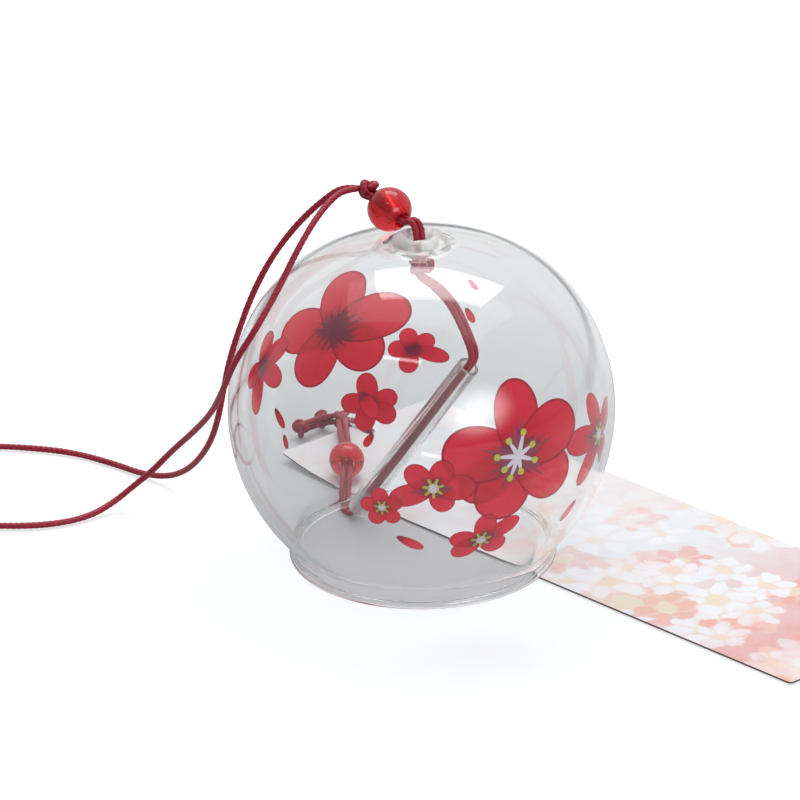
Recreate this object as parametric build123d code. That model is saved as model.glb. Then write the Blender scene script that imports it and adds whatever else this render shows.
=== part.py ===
"""Glass wind bell with a painted ball, set down on a table: its hanging cord falls to the left,
its clapper tube leans inside, and its paper card lies under the mouth.

Frame: origin at the middle of the bell's place on the table, +X right, +Y back, +Z up. Millimetres.
"""
import os
from math import acos, asin, atan2, cos, degrees, pi, radians, sin, sqrt, tan

from build123d import *

# Glass bell: a ball with a flatter crown, a short throat and a rounded lip
BELL_DIAMETER = 80.0
BELL_WALL = 1.3
BALL_HEIGHT = 33.0
SHOULDER_RADIUS = 32.0
SHOULDER_START = 30.0
SHOULDER_END = 70.0
MOUTH_DIAMETER = 55.4
THROAT_RADIUS = 2.5
LIP_RADIUS = 0.85
HOLE_DIAMETER = 4.4
COLLAR_RADIUS = 1.7
COLLAR_RISE = 0.5

# Cord, knots and the room that they need
CORD_DIAMETER = 1.4
STRAND_GAP = 0.1
CORD_ROOM = 0.1
BORE_ROOM = 0.3
SEAT_GAP = 0.2
BODY_GAP = 0.3

# How the bell stands: the lip is lifted where the lower cord passes under it
LIFT_AZIMUTH = 70.0
CORD_AZIMUTH = 127.0

# Beads
UPPER_BEAD_DIAMETER = 9.2
LOWER_BEAD_DIAMETER = 8.0
BEAD_EDGE = 0.3
UPPER_BEAD_REACH = 9.4
UPPER_BEAD_AZIMUTH = 130.0
UPPER_BEAD_RISE = 19.0
LOWER_BEAD_RUN = -39.9
LOWER_BEAD_ACROSS = 14.6
LOWER_BEAD_AZIMUTH = 92.0

# Clapper tube
TUBE_DIAMETER = 4.6
TUBE_WALL = 0.65
TUBE_LENGTH = 50.0
TUBE_EDGE = 0.2
TUBE_FOOT_HEIGHT = 2.3
TUBE_WALL_ROOM = 0.9
TUBE_AIM_RIGHT = 9.7
TUBE_AIM_HEIGHT = 43.2

# Paper card: flat on the table, with its tied end curling up
CARD_LENGTH = 153.0
CARD_WIDTH = 50.0
CARD_THICKNESS = 0.4
CARD_CORNER = 1.0
CARD_ANGLE = -46.5
CARD_ACROSS = 9.4
CARD_END = -57.7
CARD_FLAT_START = -30.0
CARD_HOLE_DIAMETER = 3.0
CARD_HOLE_INSET = 3.6
TIE_PAST_END = 3.4
TIE_ASIDE = 2.0

# Tail of the tie
TAIL_RUN = 5.05
TAIL_AZIMUTH = 156.9
END_RUN = 7.94
END_AZIMUTH = 229.1

os.makedirs("parts", exist_ok=True)


def polar(radius, azimuth, height=0.0):
    """A point at a distance and a compass angle from the Z axis."""
    return Vector(radius * cos(radians(azimuth)), radius * sin(radians(azimuth)), height)


def corner_radii(points):
    """The largest arc that each corner of a cord's route has room for."""
    radii = []
    for before, corner, after in zip(points, points[1:], points[2:]):
        half_turn = radians((corner - before).get_angle(after - corner)) / 2
        shorter = min((corner - before).length, (after - corner).length)
        radii.append(0.45 * shorter / tan(half_turn))
    return radii


def cord_tube(name, points):
    """A round cord along straight runs and tangent arcs, with its radii and volume printed."""
    radii = corner_radii(points)
    route = FilletPolyline(*points, radius=radii)
    section = Plane(origin=route @ 0, z_dir=route % 0) * Circle(CORD_DIAMETER / 2)
    tube = sweep(section, path=route)
    wanted = pi * CORD_DIAMETER**2 / 4 * route.length
    print(name, "length", round(route.length, 1), "radii", [round(r, 1) for r in radii])
    print(name, "volume over section times length", round(tube.volume / wanted, 4))
    return tube


strand_offset = (CORD_DIAMETER + STRAND_GAP) / 2


def cord_pair(name, points, side, offset=strand_offset):
    """Two strands side by side, each moved half their spacing along the unit vector side."""
    strands = []
    for sign in (1, -1):
        strand_points = [p + side * (sign * offset) for p in points]
        strands.append(cord_tube(f"{name} {sign:+d}", strand_points))
    return Compound(strands)


def knot(centre, way, cord_count):
    """An overhand knot: two crossed turns of the cord round a core, on the line of the cord."""
    turn = CORD_DIAMETER * (0.75 + 0.25 * cord_count)
    core = Cylinder(turn, 1.8 * CORD_DIAMETER)
    rings = [Rot(tilt, 0, 0) * Torus(turn, CORD_DIAMETER / 2) for tilt in (24, -24)]
    return Plane(origin=centre, z_dir=way).location * (core + rings[0] + rings[1])


def knot_reach(cord_count):
    """The largest distance of a knot's surface from its centre, across the cord."""
    return CORD_DIAMETER * (0.75 + 0.25 * cord_count) + CORD_DIAMETER / 2


def bead(centre, way, diameter, bore_radius):
    """A round bead with a bore, its edges eased."""
    ball = Sphere(diameter / 2) - Cylinder(bore_radius, 2 * diameter)
    ball = fillet(ball.edges().filter_by(GeomType.CIRCLE), BEAD_EDGE)
    return Plane(origin=centre, z_dir=way).location * ball


def turned(centre, radius, start, end):
    """An arc in the bell's section plane, from one angle to another."""
    stops = [radians(start + share * (end - start)) for share in (0, 0.5, 1)]
    spots = [Vector(centre[0] + radius * cos(a), 0, centre[1] + radius * sin(a)) for a in stops]
    return ThreePointArc(*spots)


# Bell section: the wall's two faces share their arcs' centres
ball_radius = BELL_DIAMETER / 2
neck_radius = MOUTH_DIAMETER / 2
lip_ring = neck_radius - BELL_WALL / 2
collar_ring = HOLE_DIAMETER / 2 + COLLAR_RADIUS
shoulder_gap = ball_radius - SHOULDER_RADIUS
ball_centre = (0.0, BALL_HEIGHT)
shoulder_centre = (
    shoulder_gap * cos(radians(SHOULDER_START)),
    BALL_HEIGHT + shoulder_gap * sin(radians(SHOULDER_START)),
)
crown_gap = shoulder_centre[0] / cos(radians(SHOULDER_END))
crown_radius = SHOULDER_RADIUS + crown_gap
crown_centre = (0.0, shoulder_centre[1] - crown_gap * sin(radians(SHOULDER_END)))
throat_drop = sqrt((ball_radius + THROAT_RADIUS) ** 2 - (neck_radius + THROAT_RADIUS) ** 2)
throat_centre = (neck_radius + THROAT_RADIUS, BALL_HEIGHT - throat_drop)
throat_angle = degrees(atan2(-throat_drop, throat_centre[0]))


def wall_face(depth):
    """The wall's outline, a depth below the outer face, from the lip up to the collar."""
    collar_angle = degrees(acos(collar_ring / (crown_radius - depth)))
    neck = neck_radius - depth
    return [
        Line((neck, 0, LIP_RADIUS), (neck, 0, throat_centre[1])),
        turned(throat_centre, THROAT_RADIUS + depth, 180, 180 + throat_angle),
        turned(ball_centre, ball_radius - depth, throat_angle, SHOULDER_START),
        turned(shoulder_centre, SHOULDER_RADIUS - depth, SHOULDER_START, SHOULDER_END),
        turned(crown_centre, crown_radius - depth, SHOULDER_END, collar_angle),
    ]


outer_face = wall_face(0)
inner_face = wall_face(BELL_WALL)
wall_section = make_face(
    outer_face
    + [Line(outer_face[-1] @ 1, inner_face[-1] @ 1)]
    + inner_face
    + [Line(inner_face[0] @ 0, outer_face[0] @ 0)]
)
crown_height = crown_centre[1] + sqrt((crown_radius - BELL_WALL / 2) ** 2 - collar_ring**2)
collar_height = crown_height + COLLAR_RISE
upright_bell = (
    revolve(wall_section, Axis.Z)
    + Pos(0, 0, LIP_RADIUS) * Torus(lip_ring, LIP_RADIUS)
    + Pos(0, 0, collar_height) * Torus(collar_ring, COLLAR_RADIUS)
)

# The bell leans a little, because the lower cord lies under one side of its lip
lean = asin((CORD_DIAMETER + CORD_ROOM) / lip_ring / (1 + cos(radians(CORD_AZIMUTH - LIFT_AZIMUTH))))
bell_up = polar(-sin(lean), LIFT_AZIMUTH, cos(lean))
lip_middle = Vector(0, 0, LIP_RADIUS + lip_ring * sin(lean))
bell_plane = Plane(origin=lip_middle - bell_up * LIP_RADIUS, x_dir=Vector(1, 0, 0), z_dir=bell_up)
glass_bell = bell_plane.location * upright_bell
export_step(glass_bell, "parts/glass_bell.step")

hole = bell_plane.from_local_coords(Vector(0, 0, collar_height))

# Upper bead, resting on the crown beside the hole
pair_reach = strand_offset + CORD_DIAMETER / 2
upper_bead_radius = UPPER_BEAD_DIAMETER / 2
bead_seat = sqrt((crown_radius + upper_bead_radius + SEAT_GAP) ** 2 - UPPER_BEAD_REACH**2)
upper_bead_centre = bell_plane.from_local_coords(
    polar(UPPER_BEAD_REACH, UPPER_BEAD_AZIMUTH, crown_centre[1] + bead_seat)
)
bead_out = polar(cos(radians(UPPER_BEAD_RISE)), UPPER_BEAD_AZIMUTH, sin(radians(UPPER_BEAD_RISE)))
upper_bead = bead(upper_bead_centre, bead_out, UPPER_BEAD_DIAMETER, pair_reach + BORE_ROOM)
export_step(upper_bead, "parts/upper_bead.step")

# Stopper knot under the hole, which the bell hangs on, and the top knot beyond the bead
stopper_reach = knot_reach(4)
stopper_centre = hole - bell_up * (COLLAR_RADIUS + BODY_GAP + stopper_reach)
stopper_knot = knot(stopper_centre, bell_up, 4)
export_step(stopper_knot, "parts/stopper_knot.step")
top_knot_centre = upper_bead_centre + bead_out * (upper_bead_radius + 0.9 * CORD_DIAMETER + BODY_GAP)
top_knot = knot(top_knot_centre, bead_out, 2)
export_step(top_knot, "parts/top_knot.step")

# Neck cord: up out of the stopper, over the collar, through the bead and into the top knot
outward = polar(1, UPPER_BEAD_AZIMUTH)
across_neck = polar(1, UPPER_BEAD_AZIMUTH - 90)
collar_top = COLLAR_RADIUS + CORD_DIAMETER / 2 + SEAT_GAP
bead_in = upper_bead_centre - bead_out * (upper_bead_radius + CORD_DIAMETER / 2)
neck_points = [
    stopper_centre - outward * 0.4,
    hole - outward * 0.2,
    hole + bell_up * (collar_top + 1.1) + outward * 0.5,
    hole + bell_up * (collar_top + 1.6) + outward * 2.6,
    bead_in,
    top_knot_centre,
]
neck_cord = cord_pair("neck_cord", neck_points, across_neck)
export_step(neck_cord, "parts/neck_cord.step")

# Hanging loop: out of the top knot, down the bell's left side to the table and back
side_of_knot = across_neck * strand_offset
loop_points = [
    top_knot_centre + side_of_knot * -1,
    Vector(-16.2, 11.0, 77.8),
    Vector(-22.3, 13.2, 73.0),
    Vector(-28.3, 14.0, 66.5),
    Vector(-34.0, 14.5, 58.3),
    Vector(-38.2, 13.0, 49.3),
    Vector(-41.6, 11.0, 40.2),
    Vector(-43.3, 10.5, 31.5),
    Vector(-44.3, 13.5, 23.0),
    Vector(-47.0, 20.5, 14.5),
    Vector(-52.5, 28.5, 7.2),
    Vector(-59.5, 37.0, 2.6),
    Vector(-67.0, 45.5, 0.75),
    Vector(-76.0, 53.0, 0.75),
    Vector(-85.5, 57.3, 0.75),
    Vector(-96.0, 58.0, 0.75),
    Vector(-106.0, 54.5, 0.75),
    Vector(-113.0, 46.5, 0.75),
    Vector(-115.5, 36.0, 0.75),
    Vector(-112.0, 25.5, 0.75),
    Vector(-104.0, 17.5, 0.75),
    Vector(-94.0, 14.3, 0.75),
    Vector(-84.0, 14.2, 0.75),
    Vector(-75.0, 18.0, 0.75),
    Vector(-67.2, 23.5, 2.0),
    Vector(-59.5, 26.5, 6.3),
    Vector(-53.2, 24.0, 13.5),
    Vector(-48.3, 18.0, 22.0),
    Vector(-45.2, 9.0, 30.0),
    Vector(-43.3, 0.5, 38.6),
    Vector(-39.8, -5.5, 48.1),
    Vector(-35.3, -7.0, 57.0),
    Vector(-30.0, -3.5, 65.1),
    Vector(-24.0, 2.0, 72.0),
    Vector(-17.5, 6.8, 76.8),
    top_knot_centre + side_of_knot,
]
hanging_loop = cord_tube("hanging_loop", loop_points)
export_step(hanging_loop, "parts/hanging_loop.step")

# Clapper tube, standing near the mouth's back edge and leaning across the bell
tube_radius = TUBE_DIAMETER / 2
foot_radius = neck_radius - BELL_WALL - tube_radius - TUBE_WALL_ROOM
foot = polar(foot_radius, CORD_AZIMUTH, TUBE_FOOT_HEIGHT)
tube_up = (Vector(TUBE_AIM_RIGHT, 0, TUBE_AIM_HEIGHT) - foot).normalized()
tube_place = Plane(origin=foot, z_dir=tube_up).location
tube_blank = Cylinder(tube_radius, TUBE_LENGTH, align=(Align.CENTER, Align.CENTER, Align.MIN))
tube_bore = Cylinder(tube_radius - TUBE_WALL, TUBE_LENGTH, align=(Align.CENTER, Align.CENTER, Align.MIN))
tube = tube_blank - tube_bore
tube = fillet(tube.edges().filter_by(GeomType.CIRCLE), TUBE_EDGE)
clapper_tube = tube_place * tube
export_step(clapper_tube, "parts/clapper_tube.step")

# Clapper cord: from under the stopper, bowed to the right, then down through the tube
across_tube = tube_up.cross(Vector(0, 0, 1)).normalized() * -1
tube_head = foot + tube_up * TUBE_LENGTH
clapper_points = [
    stopper_centre - bell_up * (stopper_reach + BODY_GAP) + Vector(0.4, 0.2, 0),
    Vector(5.8, -0.6, 57.8),
    Vector(8.9, -0.9, 50.4),
    tube_head + tube_up * 3.0,
    foot,
]
tube_room = tube_radius - TUBE_WALL - CORD_DIAMETER / 2
clapper_offset = (strand_offset + tube_room) / 2
clapper_cord = cord_pair("clapper_cord", clapper_points, across_tube, clapper_offset)
export_step(clapper_cord, "parts/clapper_cord.step")

# Foot cord: out of the tube's foot, down to the table and under the lip
cord_height = CORD_DIAMETER / 2 + 0.03
lip_crossing = polar(lip_ring, CORD_AZIMUTH, cord_height)
foot_turn = foot - tube_up * ((TUBE_FOOT_HEIGHT - cord_height) / tube_up.Z)
foot_points = [foot - tube_up * BODY_GAP, foot_turn, lip_crossing]
across_lip = polar(1, 15)
foot_cord = cord_pair("foot_cord", foot_points, across_lip, strand_offset + 0.1)
export_step(foot_cord, "parts/foot_cord.step")

# Card frame: along runs from the tied end to the far end, across to the back right
along = polar(1, CARD_ANGLE)
across = polar(1, CARD_ANGLE + 90)


def on_card(run, width, height):
    """A point by its distance along and across the card and its height over the table."""
    return along * run + across * width + Vector(0, 0, height)


hole_run = CARD_END + CARD_HOLE_INSET
card_middle = CARD_ACROSS + CARD_WIDTH / 2
curl_rise = CORD_DIAMETER + CORD_ROOM
curl_radius = (CARD_FLAT_START - hole_run) ** 2 / (2 * curl_rise)


def curl_height(run):
    """How far the card's underside stands over the table at a run along it."""
    return curl_radius - sqrt(curl_radius**2 - max(CARD_FLAT_START - run, 0) ** 2)


# Card: a strip with its tied end curled up, its corners rounded and a hole for the loop
card_far = CARD_END + CARD_LENGTH
curl_turn = asin((CARD_FLAT_START - CARD_END) / curl_radius)
curl_centre = on_card(CARD_FLAT_START, CARD_ACROSS, curl_radius)


def curl_point(depth, share):
    """A point of the curled end's face, a depth above the underside, at a share of the curl."""
    reach = curl_radius - depth
    turn = curl_turn * share
    return curl_centre - along * (reach * sin(turn)) - Vector(0, 0, reach * cos(turn))


near_low = on_card(CARD_FLAT_START, CARD_ACROSS, 0)
near_high = on_card(CARD_FLAT_START, CARD_ACROSS, CARD_THICKNESS)
far_low = on_card(card_far, CARD_ACROSS, 0)
far_high = on_card(card_far, CARD_ACROSS, CARD_THICKNESS)
card_edge = make_face(
    [
        Line(near_low, far_low),
        Line(far_low, far_high),
        Line(far_high, near_high),
        ThreePointArc(near_high, curl_point(CARD_THICKNESS, 0.5), curl_point(CARD_THICKNESS, 1)),
        Line(curl_point(CARD_THICKNESS, 1), curl_point(0, 1)),
        ThreePointArc(curl_point(0, 1), curl_point(0, 0.5), near_low),
    ]
)
strip = extrude(card_edge, CARD_WIDTH, dir=across)
hole_spot = on_card(hole_run, card_middle, 0)
card_hole = Pos(*hole_spot) * Cylinder(CARD_HOLE_DIAMETER / 2, 4 * curl_rise)
card_centre = on_card(CARD_END + CARD_LENGTH / 2, card_middle, 0)
card_outline = Plane(origin=card_centre, x_dir=along, z_dir=Vector(0, 0, 1))
trim = card_outline.location * extrude(RectangleRounded(CARD_LENGTH, CARD_WIDTH, CARD_CORNER), 4 * curl_rise)
paper_card = (strip & trim) - card_hole
export_step(paper_card, "parts/paper_card.step")

# Lower bead, lying on the card behind the bell
lower_bead_radius = LOWER_BEAD_DIAMETER / 2
bead_height = curl_height(LOWER_BEAD_RUN) + CARD_THICKNESS + SEAT_GAP + lower_bead_radius
lower_bead_centre = on_card(LOWER_BEAD_RUN, LOWER_BEAD_ACROSS, bead_height)
bead_away = polar(1, LOWER_BEAD_AZIMUTH)
lower_bead = bead(lower_bead_centre, bead_away, LOWER_BEAD_DIAMETER, pair_reach + BORE_ROOM)
export_step(lower_bead, "parts/lower_bead.step")

# Tie knot just past the card's end
edge_top = curl_height(CARD_END) + CARD_THICKNESS
tie_height = edge_top + CORD_DIAMETER / 2 + BODY_GAP
tie_centre = on_card(CARD_END - TIE_PAST_END, card_middle - TIE_ASIDE, tie_height)
tie_way = polar(1, 150)
tie_knot = knot(tie_centre, tie_way, 2)
export_step(tie_knot, "parts/tie_knot.step")

# Bead cord: from under the lip, up through the lower bead and over the card's end to the tie knot
bead_entry = lower_bead_centre - bead_away * (lower_bead_radius + 1.2)
bead_exit = lower_bead_centre + bead_away * (lower_bead_radius + 1.5)
bead_cord_points = [
    lip_crossing + polar(2 * BODY_GAP, CORD_AZIMUTH - 12),
    lip_crossing + polar(5.4, 101, 1.0),
    bead_entry,
    bead_exit,
    Vector(-17.9, 55.8, bead_height - 0.2),
    tie_centre,
]
bead_cord = cord_pair("bead_cord", bead_cord_points, across_lip, strand_offset + 0.1)
export_step(bead_cord, "parts/bead_cord.step")

# Card loop: from the tie knot over the card's end, down through its hole and back underneath
over_card = tie_height
to_hole = (hole_spot - Vector(tie_centre.X, tie_centre.Y, 0)).normalized()
loop_start = knot_reach(2) + BODY_GAP
tie_floor = Vector(tie_centre.X, tie_centre.Y, 0)
fold_radius = (over_card - cord_height) / 2
fold_start = hole_spot - to_hole * fold_radius
fold_top = fold_start + Vector(0, 0, over_card)
fold_low = fold_start + Vector(0, 0, cord_height)
fold_tip = fold_start + to_hole * fold_radius + Vector(0, 0, cord_height + fold_radius)
loop_top = tie_floor + to_hole * loop_start + Vector(0, 0, over_card)
loop_low = tie_floor + to_hole * loop_start + Vector(0, 0, cord_height)
fold = ThreePointArc(fold_top, fold_tip, fold_low)
loop_route = Wire([Line(loop_top, fold_top), fold, Line(fold_low, loop_low)])
loop_section = Plane(origin=loop_top, z_dir=to_hole) * Circle(CORD_DIAMETER / 2)
card_loop = sweep(loop_section, path=loop_route)
print("card_loop fold radius", round(fold_radius, 2), "length", round(loop_route.length, 1))
export_step(card_loop, "parts/card_loop.step")

# Tail of the tie: both cord ends, a knot on the way and a knot at the end, lying on the table
tail_floor = knot_reach(2) + 0.05
tail_start = Vector(tie_centre.X, tie_centre.Y, tail_floor)
tail_knot_centre = tail_start + polar(TAIL_RUN, TAIL_AZIMUTH)
end_knot_centre = tail_knot_centre + polar(END_RUN, END_AZIMUTH)
tail_points = [tie_centre, tail_knot_centre, end_knot_centre]
tail_cord = cord_pair("tail_cord", tail_points, Vector(0, 0, 1))
export_step(tail_cord, "parts/tail_cord.step")
tail_knot = knot(tail_knot_centre, polar(1, 210), 2)
export_step(tail_knot, "parts/tail_knot.step")
end_knot = knot(end_knot_centre, polar(1, 230), 2)
export_step(end_knot, "parts/end_knot.step")

# Joint places for the record
print("lean", round(degrees(lean), 3), "bell up", bell_up, "hole", hole)
print("stopper", stopper_centre, "foot", foot, "tube up", tube_up, "tube head", tube_head)
print("upper bead", upper_bead_centre, "bead out", bead_out, "top knot", top_knot_centre)
print("lip crossing", lip_crossing, "lower bead", lower_bead_centre, "bead away", bead_away)
print("tie knot", tie_centre, "card across", across, "card hole", hole_spot)
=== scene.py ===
from math import acos, asin, atan2, cos, degrees, hypot, pi, radians, sin, sqrt

import bmesh
import bpy
from mathutils import Matrix, Vector, noise


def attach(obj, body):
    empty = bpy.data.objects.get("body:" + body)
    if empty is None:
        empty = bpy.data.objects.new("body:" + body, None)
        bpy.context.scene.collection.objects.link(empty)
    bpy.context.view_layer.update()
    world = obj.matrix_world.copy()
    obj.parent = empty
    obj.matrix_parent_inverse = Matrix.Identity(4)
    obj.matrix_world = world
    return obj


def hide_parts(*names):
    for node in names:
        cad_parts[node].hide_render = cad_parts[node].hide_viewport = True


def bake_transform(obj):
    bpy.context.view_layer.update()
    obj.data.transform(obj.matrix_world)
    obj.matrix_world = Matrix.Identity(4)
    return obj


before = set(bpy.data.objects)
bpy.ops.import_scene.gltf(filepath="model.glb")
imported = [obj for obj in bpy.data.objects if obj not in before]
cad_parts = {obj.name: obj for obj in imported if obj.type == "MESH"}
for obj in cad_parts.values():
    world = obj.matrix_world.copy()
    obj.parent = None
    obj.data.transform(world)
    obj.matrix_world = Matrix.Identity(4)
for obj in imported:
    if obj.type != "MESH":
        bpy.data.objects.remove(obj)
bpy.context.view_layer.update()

# Camera: a long lens about a metre away, looking down on the table by 22 degrees.
camera_data = bpy.data.cameras.new("camera")
camera_data.lens = 225
camera_data.sensor_width = 36
camera_data.clip_start = 0.01
camera = bpy.data.objects.new("camera", camera_data)
camera.location = (-0.0048, -0.9563, 0.4260)
camera.rotation_euler = (radians(90 - 22.23), 0, 0)
bpy.context.scene.collection.objects.link(camera)
bpy.context.scene.camera = camera
bpy.context.scene.view_settings.view_transform = "Standard"
bpy.context.scene.cycles.max_bounces = 32
bpy.context.scene.cycles.glossy_bounces = 24
bpy.context.scene.cycles.transmission_bounces = 24


# Table and light: a matt white table top in a white room that is brightest at the back. A window and the
# ceiling behind the bell light it, with a large soft panel at the front right and a thin strip overhead.
def srgb(code):
    """A hex sRGB colour as linear red, green, blue and alpha."""
    parts = [int(code[i:i + 2], 16) / 255 for i in (0, 2, 4)]
    return [c / 12.92 if c <= 0.04045 else ((c + 0.055) / 1.055) ** 2.4 for c in parts] + [1]


def add(tree, kind, inputs=None, **settings):
    """A node with its settings, and its inputs set to values or linked to other nodes' outputs."""
    node = tree.nodes.new(kind)
    for name, value in settings.items():
        setattr(node, name, value)
    for name, value in (inputs or {}).items():
        if isinstance(value, bpy.types.NodeSocket):
            tree.links.new(value, node.inputs[name])
        else:
            node.inputs[name].default_value = value
    return node


def new_material(name):
    """An empty node material with its output."""
    material = bpy.data.materials.new(name)
    material.use_nodes = True
    material.node_tree.nodes.clear()
    tree = material.node_tree
    return material, tree, add(tree, "ShaderNodeOutputMaterial")


def finished(bm, name, material):
    """A bmesh as a linked, smooth object at the origin, with one material."""
    mesh = bpy.data.meshes.new(name)
    for face in bm.faces:
        face.smooth = True
    bm.to_mesh(mesh)
    bm.free()
    mesh.materials.append(material)
    piece = bpy.data.objects.new(name, mesh)
    bpy.context.scene.collection.objects.link(piece)
    return piece


# Matt white board: it glows white to the eye and a little through the glass and in reflections, and keeps
# soft shadows. Its colour holds painted shade and light: darker round and in front of the bell, lighter
# behind it as if the window lit it more, and darker far off, which dims its reflection in the glass.
white_table, tree, out = new_material("white_table")
path = add(tree, "ShaderNodeLightPath")
mirrored = add(tree, "ShaderNodeMath", {0: path.outputs["Is Glossy Ray"], 1: 0.03}, operation="MULTIPLY")
through = add(
    tree,
    "ShaderNodeMath",
    {0: path.outputs["Is Transmission Ray"], 1: 0.08, 2: mirrored.outputs[0]},
    operation="MULTIPLY_ADD",
)
spot = add(tree, "ShaderNodeTexCoord")
cloud = add(
    tree,
    "ShaderNodeTexNoise",
    {"Vector": spot.outputs["Object"], "Scale": 1 / 0.12, "Detail": 2.0},
)
ground = add(tree, "ShaderNodeSeparateXYZ", {0: spot.outputs["Object"]})
depth = add(
    tree,
    "ShaderNodeMath",
    {0: cloud.outputs["Fac"], 1: 0.04, 2: ground.outputs["Y"]},
    operation="MULTIPLY_ADD",
)
# Painted shade and light: the board is darker round the bell and in front of it, and lighter further back
# where the window's light falls.
painted_light_tone = add(tree, "ShaderNodeValToRGB", {"Fac": depth.outputs[0]})
painted_light_tone.color_ramp.elements[0].position = 0.0
painted_light_tone.color_ramp.elements[0].color = srgb("AEB0B3")
painted_light_tone.color_ramp.elements[1].position = 0.2
painted_light_tone.color_ramp.elements[1].color = srgb("D8D9DB")
away = add(tree, "ShaderNodeVectorMath", {0: spot.outputs["Object"], 1: (0, 0.15, 0)}, operation="DISTANCE")
far = add(tree, "ShaderNodeMapRange", {"Value": away.outputs["Value"], "From Min": 0.26, "From Max": 0.42})
table_tone = add(
    tree,
    "ShaderNodeMix",
    {"Factor": far.outputs[0], "A": painted_light_tone.outputs["Color"], "B": srgb("8C8E91")},
    data_type="RGBA",
)
white = add(tree, "ShaderNodeMapRange", {"Value": far.outputs[0], "To Min": 0.60, "To Max": 0.80})
lift = add(
    tree,
    "ShaderNodeMath",
    {0: path.outputs["Is Camera Ray"], 1: white.outputs[0], 2: through.outputs[0]},
    operation="MULTIPLY_ADD",
)
table_look = add(
    tree,
    "ShaderNodeBsdfPrincipled",
    {
        "Base Color": table_tone.outputs["Result"],
        "Roughness": 0.8,
        "Emission Color": (1, 1, 1, 1),
        "Emission Strength": lift.outputs[0],
    },
)
tree.links.new(table_look.outputs[0], out.inputs["Surface"])
bm = bmesh.new()
bmesh.ops.create_grid(bm, x_segments=2, y_segments=2, size=3.0)
bmesh.ops.translate(bm, verts=bm.verts, vec=(0, 0, -0.0002))
table = finished(bm, "table_top", white_table)

world = bpy.data.worlds.new("white_walls")
bpy.context.scene.world = world
world.use_nodes = True
tree = world.node_tree
tree.nodes.clear()
out = add(tree, "ShaderNodeOutputWorld")
spot = add(tree, "ShaderNodeTexCoord")
room = add(
    tree,
    "ShaderNodeVectorMath",
    {0: spot.outputs["Generated"], 1: (0, 0.9, 0.44)},
    operation="DOT_PRODUCT",
)
wall_tone = add(tree, "ShaderNodeValToRGB", {"Fac": room.outputs["Value"]})
wall_tone.color_ramp.elements[0].position = 0.0
wall_tone.color_ramp.elements[0].color = srgb("A4A6A8")
wall_tone.color_ramp.elements[1].position = 0.85
wall_tone.color_ramp.elements[1].color = srgb("FFFFFF")
walls = add(tree, "ShaderNodeBackground", {"Color": wall_tone.outputs["Color"], "Strength": 0.86})
tree.links.new(walls.outputs[0], out.inputs["Surface"])

# Lamps: each has its place, the point it faces, its size, its power and whether it fades out to its edges.
for name, place, aim, size, power, soft in (
    ("window_panel", (0.09, 0.36, 0.76), (0.05, 0.0, 0.05), (0.60, 0.34), 2.2, False),
    ("ceiling_panel", (0.05, 0.15, 0.85), (0.0, 0.0, 0.05), (1.10, 0.60), 1.1, False),
    ("front_panel", (0.54, -0.79, 0.32), (0.0, 0.0, 0.05), (0.95, 0.60), 9.5, True),
    ("ceiling_strip", (-0.15, -0.46, 0.68), (0.0, 0.0, 0.05), (0.31, 0.03), 0.14, False),
):
    panel_data = bpy.data.lights.new(name, "AREA")
    panel_data.shape = "RECTANGLE"
    panel_data.size = size[0]
    panel_data.size_y = size[1]
    panel_data.energy = power
    if soft:
        panel_data.use_nodes = True
        tree = panel_data.node_tree
        tree.nodes.clear()
        out = add(tree, "ShaderNodeOutputLight")
        spot = add(tree, "ShaderNodeNewGeometry")
        away = add(
            tree,
            "ShaderNodeVectorMath",
            {0: spot.outputs["Parametric"], 1: (0.5, 0.5, 0)},
            operation="DISTANCE",
        )
        fade = add(
            tree,
            "ShaderNodeMapRange",
            {"Value": away.outputs["Value"], "From Min": 0.5, "From Max": 0.05},
            interpolation_type="SMOOTHSTEP",
        )
        glow = add(tree, "ShaderNodeEmission", {"Strength": fade.outputs[0]})
        tree.links.new(glow.outputs[0], out.inputs["Surface"])
    panel = bpy.data.objects.new(name, panel_data)
    panel.location = place
    panel.rotation_euler = (Vector(aim) - Vector(place)).to_track_quat("-Z", "Y").to_euler()
    bpy.context.scene.collection.objects.link(panel)

# Hanging loop: a thin red satin cord of three twisted plies, tied above the upper bead and falling to the
# left, where it lies on the table. The same cord, doubled, goes on through the beads and the bell.

# Its thickness, the length of a full twist and the steps in it, and each ply's radius and distance from
# the middle as shares of the thickness.
mm = 0.001
CORD = 1.4 * mm
TWIST = 3.6 * mm
TWIST_STEPS = 12
PLY_SHARE = 0.40
LAY_SHARE = 0.10

# Dyed polyester yarn: deep crimson, with a soft sheen on each ply and dark lines where the plies meet.
satin_cord, tree, out = new_material("twisted_satin_cord")
spot = add(tree, "ShaderNodeTexCoord")
fibre = add(
    tree,
    "ShaderNodeTexNoise",
    {"Vector": spot.outputs["Object"], "Scale": 1 / (0.6 * mm), "Detail": 3.0},
)
shade = add(tree, "ShaderNodeValToRGB", {"Fac": fibre.outputs["Fac"]})
shade.color_ramp.elements[0].position = 0.3
shade.color_ramp.elements[0].color = srgb("8C1028")
shade.color_ramp.elements[1].position = 0.7
shade.color_ramp.elements[1].color = srgb("C01C3C")
grain = add(tree, "ShaderNodeBump", {"Height": fibre.outputs["Fac"], "Strength": 0.3, "Distance": 0.1 * mm})
cord_look = add(
    tree,
    "ShaderNodeBsdfPrincipled",
    {
        "Base Color": shade.outputs["Color"],
        "Roughness": 0.45,
        "Normal": grain.outputs["Normal"],
        "Sheen Weight": 0.08,
        "Sheen Roughness": 0.4,
    },
)
tree.links.new(cord_look.outputs[0], out.inputs["Surface"])


def traced(curve):
    """A curve's own points as a mesh gives them, without linking it to the scene."""
    holder = bpy.data.objects.new(curve.name, curve)
    mesh = bpy.data.meshes.new_from_object(holder)
    bpy.data.objects.remove(holder)
    return mesh


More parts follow.
